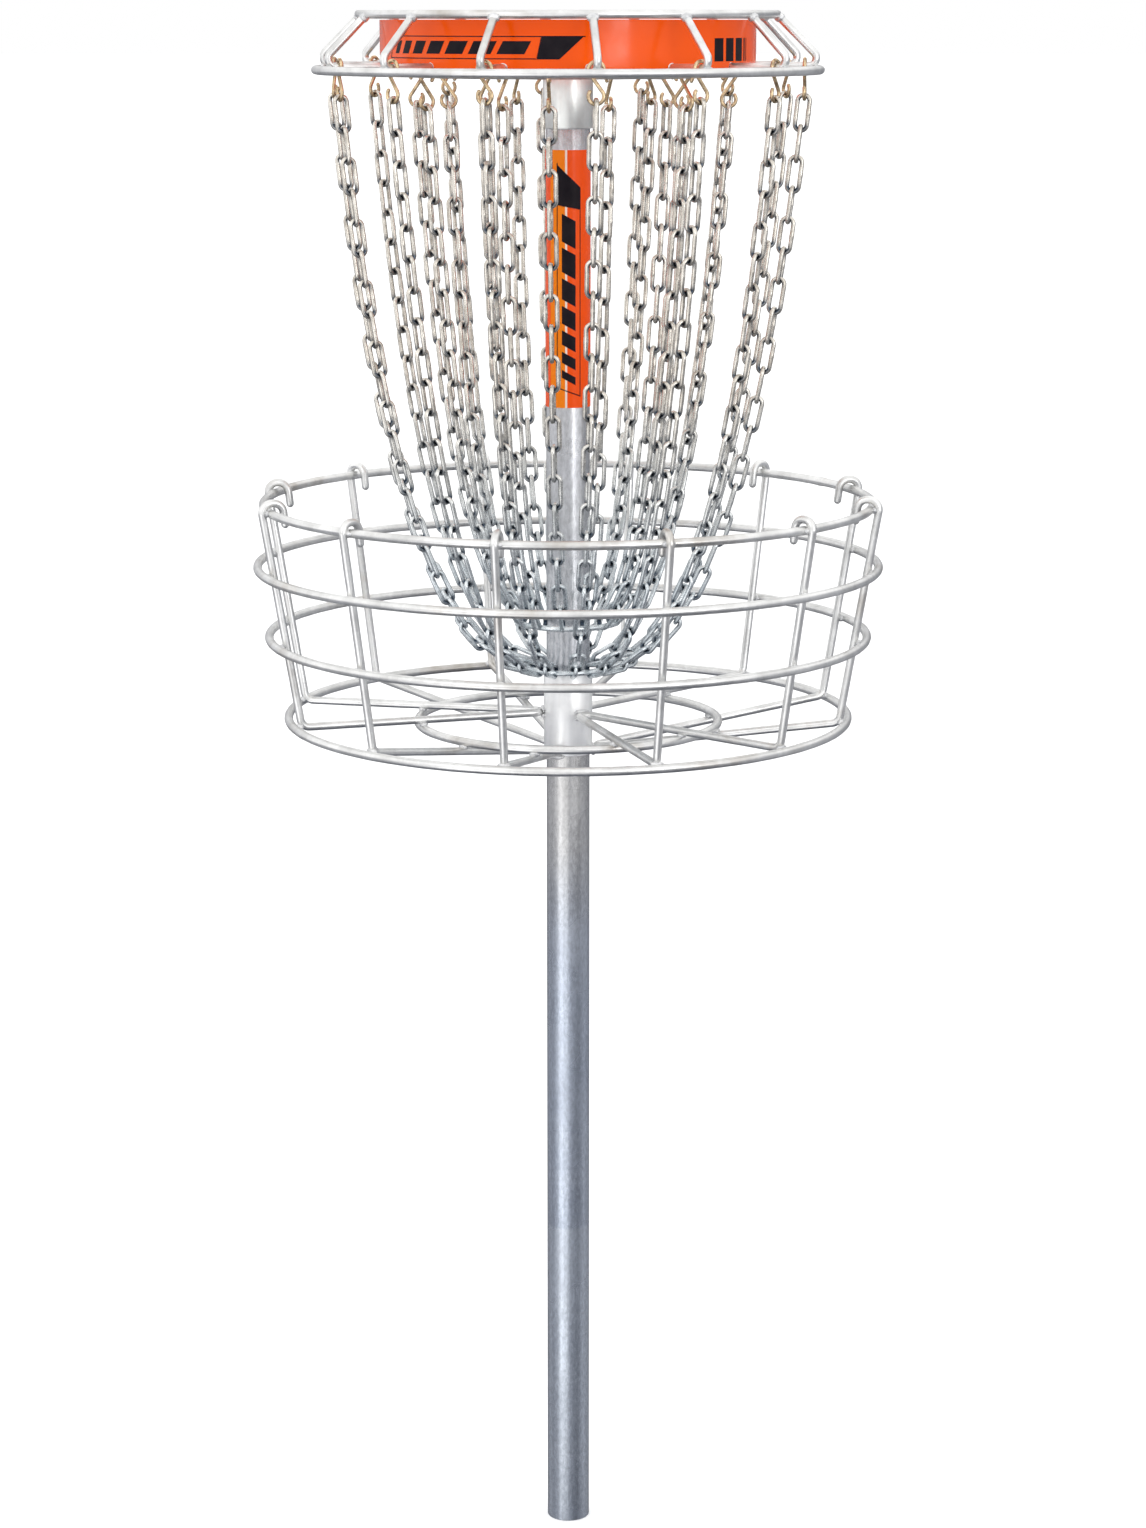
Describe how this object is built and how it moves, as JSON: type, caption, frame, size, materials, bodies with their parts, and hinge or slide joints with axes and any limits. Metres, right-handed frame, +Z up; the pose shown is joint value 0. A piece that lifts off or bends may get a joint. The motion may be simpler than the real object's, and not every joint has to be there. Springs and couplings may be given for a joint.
{
  "type": "disc golf basket",
  "caption": "Galvanised disc golf basket: a pole with a hooped chain support and orange band, hanging chains on two rings and a wire catching basket.",
  "frame": {"origin": "centre of the pole's foot, on its flat end", "axes": "+Z up along the pole, -Y towards the front, where the viewer stands, +X to the right seen from the front"},
  "size_m": [0.688, 0.688, 1.7071],
  "materials": {
    "galvanised_steel": "hot-dip galvanised, satin, lightly spangled",
    "chain_steel": "zinc-plated welded chain, satin, dark where the links rub",
    "zinc_bolt": "bright zinc plate",
    "orange_paint": null,
    "decal_film": null
  },
  "bodies": {
    "frame": {"pole": "galvanised_steel", "sleeve_cap": "galvanised_steel", "top_sleeve": "galvanised_steel", "basket_sleeve": "galvanised_steel", "top_set_bolt": "zinc_bolt", "basket_set_bolt": "zinc_bolt", "pole_decal": "decal_film", "upper_support_ring": "galvanised_steel", "lower_support_ring": "galvanised_steel", "middle_hanger_ring": "galvanised_steel", "inner_hanger_ring": "galvanised_steel", "support_rod_1": "galvanised_steel", "support_rod_2": "galvanised_steel", "support_rod_3": "galvanised_steel", "support_rod_4": "galvanised_steel", "support_rod_5": "galvanised_steel", "support_rod_6": "galvanised_steel", "support_rod_7": "galvanised_steel", "top_band": "orange_paint", "rim_ring": "galvanised_steel", "second_ring": "galvanised_steel", "third_ring": "galvanised_steel", "bottom_ring": "galvanised_steel", "floor_ring": "galvanised_steel", "basket_rod_1": "galvanised_steel", "basket_rod_2": "galvanised_steel", "basket_rod_3": "galvanised_steel", "basket_rod_4": "galvanised_steel", "basket_rod_5": "galvanised_steel", "basket_rod_6": "galvanised_steel", "outer_chain_ring": "chain_steel", "inner_chain_ring": "chain_steel"},
    "outer_strand_01": {"outer_chain_01": "chain_steel"},
    "outer_strand_02": {"outer_chain_02": "chain_steel"},
    "outer_strand_03": {"outer_chain_03": "chain_steel"},
    "outer_strand_04": {"outer_chain_04": "chain_steel"},
    "outer_strand_05": {"outer_chain_05": "chain_steel"},
    "outer_strand_06": {"outer_chain_06": "chain_steel"},
    "outer_strand_07": {"outer_chain_07": "chain_steel"},
    "outer_strand_08": {"outer_chain_08": "chain_steel"},
    "outer_strand_09": {"outer_chain_09": "chain_steel"},
    "outer_strand_10": {"outer_chain_10": "chain_steel"},
    "outer_strand_11": {"outer_chain_11": "chain_steel"},
    "outer_strand_12": {"outer_chain_12": "chain_steel"},
    "outer_strand_13": {"outer_chain_13": "chain_steel"},
    "outer_strand_14": {"outer_chain_14": "chain_steel"},
    "inner_strand_01": {"inner_chain_01": "chain_steel"},
    "inner_strand_02": {"inner_chain_02": "chain_steel"},
    "inner_strand_03": {"inner_chain_03": "chain_steel"},
    "inner_strand_04": {"inner_chain_04": "chain_steel"},
    "inner_strand_05": {"inner_chain_05": "chain_steel"},
    "inner_strand_06": {"inner_chain_06": "chain_steel"},
    "inner_strand_07": {"inner_chain_07": "chain_steel"},
    "inner_strand_08": {"inner_chain_08": "chain_steel"},
    "inner_strand_09": {"inner_chain_09": "chain_steel"},
    "inner_strand_10": {"inner_chain_10": "chain_steel"},
    "inner_strand_11": {"inner_chain_11": "chain_steel"},
    "inner_strand_12": {"inner_chain_12": "chain_steel"},
    "inner_strand_13": {"inner_chain_13": "chain_steel"},
    "inner_strand_14": {"inner_chain_14": "chain_steel"}
  },
  "joints": [
    {"name": "outer_swing_01", "type": "hinge", "parent": "frame", "child": "outer_strand_01", "pos_m": [-0.08293, -0.23796, 1.6439], "axis": [0.1006, 0.2888, -0.9521], "range_deg": [-22, 22]},
    {"name": "outer_swing_02", "type": "hinge", "parent": "frame", "child": "outer_strand_02", "pos_m": [0.02852, -0.25038, 1.6439], "axis": [-0.0346, 0.3039, -0.9521], "range_deg": [-22, 22]},
    {"name": "outer_swing_03", "type": "hinge", "parent": "frame", "child": "outer_strand_03", "pos_m": [0.13434, -0.21321, 1.6439], "axis": [-0.163, 0.2588, -0.9521], "range_deg": [-22, 22]},
    {"name": "outer_swing_04", "type": "hinge", "parent": "frame", "child": "outer_strand_04", "pos_m": [0.21354, -0.13381, 1.6439], "axis": [-0.2592, 0.1624, -0.9521], "range_deg": [-22, 22]},
    {"name": "outer_swing_05", "type": "hinge", "parent": "frame", "child": "outer_strand_05", "pos_m": [0.25045, -0.0279, 1.6439], "axis": [-0.304, 0.0339, -0.9521], "range_deg": [-22, 22]},
    {"name": "outer_swing_06", "type": "hinge", "parent": "frame", "child": "outer_strand_06", "pos_m": [0.23776, 0.08352, 1.6439], "axis": [-0.2885, -0.1014, -0.9521], "range_deg": [-22, 22]},
    {"name": "outer_swing_07", "type": "hinge", "parent": "frame", "child": "outer_strand_07", "pos_m": [0.17797, 0.17842, 1.6439], "axis": [-0.216, -0.2165, -0.9521], "range_deg": [-22, 22]},
    {"name": "outer_swing_08", "type": "hinge", "parent": "frame", "child": "outer_strand_08", "pos_m": [0.08294, 0.23796, 1.6439], "axis": [-0.1007, -0.2888, -0.9521], "range_deg": [-22, 22]},
    {"name": "outer_swing_09", "type": "hinge", "parent": "frame", "child": "outer_strand_09", "pos_m": [-0.02853, 0.25038, 1.6439], "axis": [0.0346, -0.3039, -0.9521], "range_deg": [-22, 22]},
    {"name": "outer_swing_10", "type": "hinge", "parent": "frame", "child": "outer_strand_10", "pos_m": [-0.13433, 0.21321, 1.6439], "axis": [0.163, -0.2588, -0.9521], "range_deg": [-22, 22]},
    {"name": "outer_swing_11", "type": "hinge", "parent": "frame", "child": "outer_strand_11", "pos_m": [-0.21354, 0.1338, 1.6439], "axis": [0.2592, -0.1624, -0.9521], "range_deg": [-22, 22]},
    {"name": "outer_swing_12", "type": "hinge", "parent": "frame", "child": "outer_strand_12", "pos_m": [-0.25045, 0.02791, 1.6439], "axis": [0.304, -0.0339, -0.9521], "range_deg": [-22, 22]},
    {"name": "outer_swing_13", "type": "hinge", "parent": "frame", "child": "outer_strand_13", "pos_m": [-0.23775, -0.08353, 1.6439], "axis": [0.2885, 0.1014, -0.9521], "range_deg": [-22, 22]},
    {"name": "outer_swing_14", "type": "hinge", "parent": "frame", "child": "outer_strand_14", "pos_m": [-0.17797, -0.17841, 1.6439], "axis": [0.216, 0.2165, -0.9521], "range_deg": [-22, 22]},
    {"name": "inner_swing_01", "type": "hinge", "parent": "frame", "child": "inner_strand_01", "pos_m": [0.04226, -0.12029, 1.6363], "axis": [-0.0407, 0.1158, -0.9924], "range_deg": [-22, 22]},
    {"name": "inner_swing_02", "type": "hinge", "parent": "frame", "child": "inner_strand_02", "pos_m": [0.12284, -0.12253, 1.6363], "axis": [-0.1403, 0.14, -0.9802], "range_deg": [-22, 22]},
    {"name": "inner_swing_03", "type": "hinge", "parent": "frame", "child": "inner_strand_03", "pos_m": [0.1204, -0.04196, 1.6363], "axis": [-0.1159, 0.0404, -0.9924], "range_deg": [-22, 22]},
    {"name": "inner_swing_04", "type": "hinge", "parent": "frame", "child": "inner_strand_04", "pos_m": [0.17239, 0.01964, 1.6363], "axis": [-0.1969, -0.0224, -0.9802], "range_deg": [-22, 22]},
    {"name": "inner_swing_05", "type": "hinge", "parent": "frame", "child": "inner_strand_05", "pos_m": [0.10787, 0.06797, 1.6363], "axis": [-0.1039, -0.0655, -0.9924], "range_deg": [-22, 22]},
    {"name": "inner_swing_06", "type": "hinge", "parent": "frame", "child": "inner_strand_06", "pos_m": [0.09212, 0.14702, 1.6363], "axis": [-0.1052, -0.168, -0.9802], "range_deg": [-22, 22]},
    {"name": "inner_swing_07", "type": "hinge", "parent": "frame", "child": "inner_strand_07", "pos_m": [0.01412, 0.12672, 1.6363], "axis": [-0.0136, -0.122, -0.9924], "range_deg": [-22, 22]},
    {"name": "inner_swing_08", "type": "hinge", "parent": "frame", "child": "inner_strand_08", "pos_m": [-0.05751, 0.16369, 1.6363], "axis": [0.0657, -0.187, -0.9802], "range_deg": [-22, 22]},
    {"name": "inner_swing_09", "type": "hinge", "parent": "frame", "child": "inner_strand_09", "pos_m": [-0.09027, 0.09004, 1.6363], "axis": [0.0869, -0.0867, -0.9924], "range_deg": [-22, 22]},
    {"name": "inner_swing_10", "type": "hinge", "parent": "frame", "child": "inner_strand_10", "pos_m": [-0.16384, 0.0571, 1.6363], "axis": [0.1872, -0.0652, -0.9802], "range_deg": [-22, 22]},
    {"name": "inner_swing_11", "type": "hinge", "parent": "frame", "child": "inner_strand_11", "pos_m": [-0.12668, -0.01443, 1.6363], "axis": [0.122, 0.0139, -0.9924], "range_deg": [-22, 22]},
    {"name": "inner_swing_12", "type": "hinge", "parent": "frame", "child": "inner_strand_12", "pos_m": [-0.14679, -0.09249, 1.6363], "axis": [0.1677, 0.1057, -0.9802], "range_deg": [-22, 22]},
    {"name": "inner_swing_13", "type": "hinge", "parent": "frame", "child": "inner_strand_13", "pos_m": [-0.0677, -0.10804, 1.6363], "axis": [0.0652, 0.104, -0.9924], "range_deg": [-22, 22]},
    {"name": "inner_swing_14", "type": "hinge", "parent": "frame", "child": "inner_strand_14", "pos_m": [-0.01921, -0.17243, 1.6363], "axis": [0.0219, 0.197, -0.9802], "range_deg": [-22, 22]}
  ]
}
